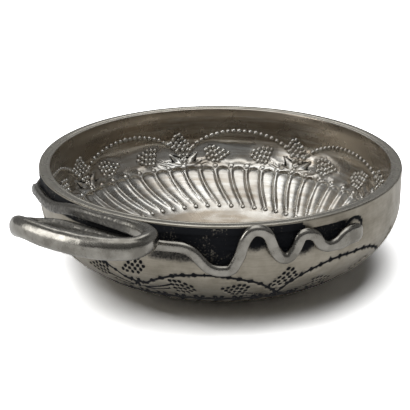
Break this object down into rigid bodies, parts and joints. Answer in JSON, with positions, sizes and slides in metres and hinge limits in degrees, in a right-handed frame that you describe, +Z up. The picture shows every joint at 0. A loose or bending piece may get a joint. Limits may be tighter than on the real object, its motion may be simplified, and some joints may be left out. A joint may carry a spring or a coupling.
{
  "type": "wine taster",
  "caption": "Shallow round silver wine taster with a thick lip, swirled gadroons chased through the bowl, and a cast serpent coiled into a finger ring and waving along the wall.",
  "frame": {"origin": "centre of the flat base the bowl rests on", "axes": "+Z up out of the bowl's mouth, -Y towards the finger ring, +X to the right as seen from the ring"},
  "size_m": [0.0857, 0.1006, 0.0287],
  "materials": {
    "bowl_silver": "raised and chased silver, polished inside, antiqued outside with black left in the chasing",
    "lip_silver": "burnished silver wire",
    "serpent_silver": "cast silver, pitted, with handling polish on its high sides"
  },
  "bodies": {
    "root": {"bowl": "bowl_silver", "rim_wire": "lip_silver", "serpent_handle": "serpent_silver"}
  },
  "joints": []
}
